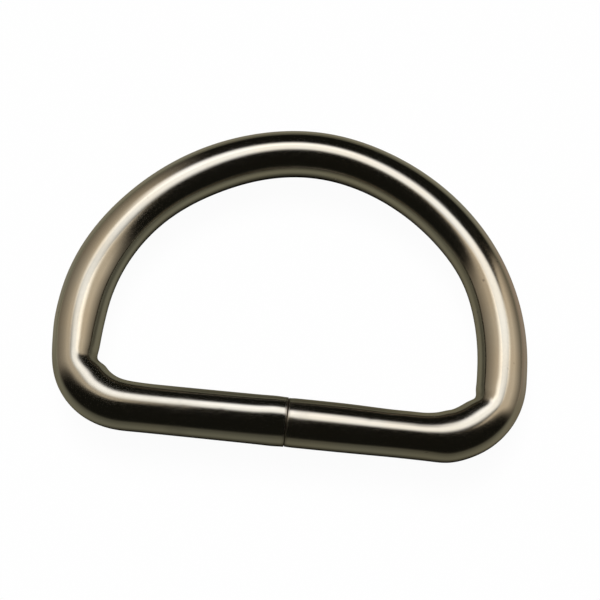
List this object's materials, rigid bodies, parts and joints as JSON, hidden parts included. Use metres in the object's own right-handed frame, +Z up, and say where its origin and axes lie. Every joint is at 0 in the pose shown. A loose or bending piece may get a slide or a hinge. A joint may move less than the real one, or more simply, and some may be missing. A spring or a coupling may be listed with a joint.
{
  "type": "d ring",
  "caption": "Wire D ring with a straight bar for webbing and a half-round arc for a hook, its butted wire ends meeting in the middle of the bar.",
  "frame": {"origin": "centre of the ring's footprint, on the surface that it lies on", "axes": "+X along the straight bar, +Y from the bar towards the crown of the arc, +Z up, square to the plane of the ring"},
  "size_m": [0.0314, 0.0222, 0.0032],
  "materials": {
    "nickel_plate": "bright nickel plate over drawn steel wire, with a faint warm cast, fine draw lines along the wire and a dull brown stain at the seam"
  },
  "bodies": {
    "root": {"ring": "nickel_plate"}
  },
  "joints": []
}
